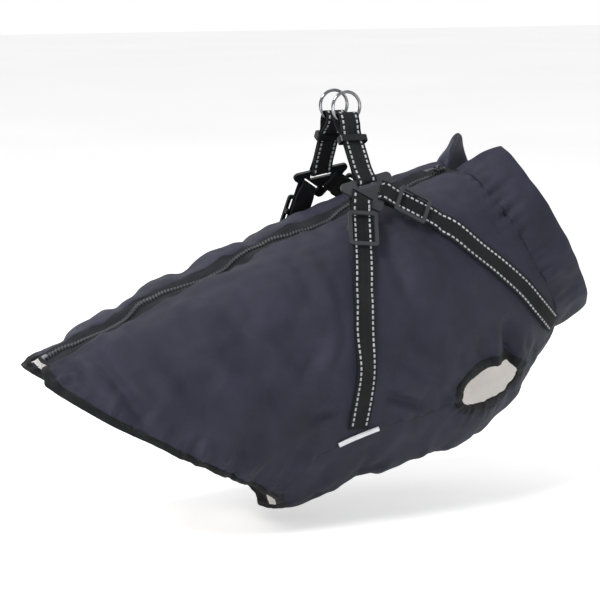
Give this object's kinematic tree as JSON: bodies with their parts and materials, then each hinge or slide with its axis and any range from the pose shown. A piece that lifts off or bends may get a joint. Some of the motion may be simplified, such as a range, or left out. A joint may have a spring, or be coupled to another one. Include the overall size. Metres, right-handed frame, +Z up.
{
  "type": "dog winter coat with harness",
  "caption": "Padded winter coat for a dog, zipped along the back, with a sewn-on webbing harness whose straps meet at rings over the shoulders.",
  "frame": {"origin": "on the inner face of the back, over the wearer's shoulders, below the rings", "axes": "+X from the tail to the neck, +Y towards the wearer's left flank, +Z up"},
  "size_m": [0.5632, 0.1986, 0.3925],
  "materials": {
    "shell": "smooth dark blue-grey woven shell",
    "binding": "black gathered elastic binding",
    "zip_tape": "dark zip tape with a nylon coil",
    "webbing": "black ribbed webbing with pale reflective dashes",
    "dark_plastic": "dark grey moulded",
    "black_plastic": "black moulded",
    "reflective": "pale reflective strip",
    "chrome": "polished",
    "zip_metal": "satin"
  },
  "bodies": {
    "coat": {"side_panel_near": "shell", "side_panel_far": "shell", "belly_panel": "shell", "collar": "shell", "hem_binding_near": "binding", "hem_binding_far": "binding", "hem_binding_belly": "binding", "leg_binding_near": "binding", "leg_binding_far": "binding", "zip_tape_near": "zip_tape", "zip_tape_far": "zip_tape", "girth_strap_near": "webbing", "chest_strap_near": "webbing", "ring_strap_near": "webbing", "strap_plate_near": "dark_plastic", "girth_slide_near": "dark_plastic", "chest_slide_near": "dark_plastic", "ring_keeper_near": "black_plastic", "seam_bar_near": "reflective", "girth_strap_far": "webbing", "chest_strap_far": "webbing", "ring_strap_far": "webbing", "strap_plate_far": "black_plastic", "girth_slide_far": "black_plastic", "chest_slide_far": "black_plastic", "ring_keeper_far": "black_plastic", "seam_bar_far": "reflective", "zip_slider": "zip_metal", "zip_stop": "zip_metal"},
    "ring_near": {"ring_near": "chrome"},
    "ring_far": {"ring_far": "chrome"},
    "pull": {"pull_tab": "zip_metal"}
  },
  "joints": [
    {"name": "ring_near_swing", "type": "hinge", "parent": "coat", "child": "ring_near", "pos_m": [-0.0245, -0.01318, 0.08121], "axis": [1, 0, 0], "range_deg": [-20, 110]},
    {"name": "ring_far_swing", "type": "hinge", "parent": "coat", "child": "ring_far", "pos_m": [-0.0245, 0.01318, 0.08121], "axis": [-1, 0, 0], "range_deg": [-20, 110]},
    {"name": "pull_tab_lift", "type": "hinge", "parent": "coat", "child": "pull", "pos_m": [0.08136, 0, 0.0313], "axis": [0, 1, 0], "range_deg": [0, 140]}
  ]
}
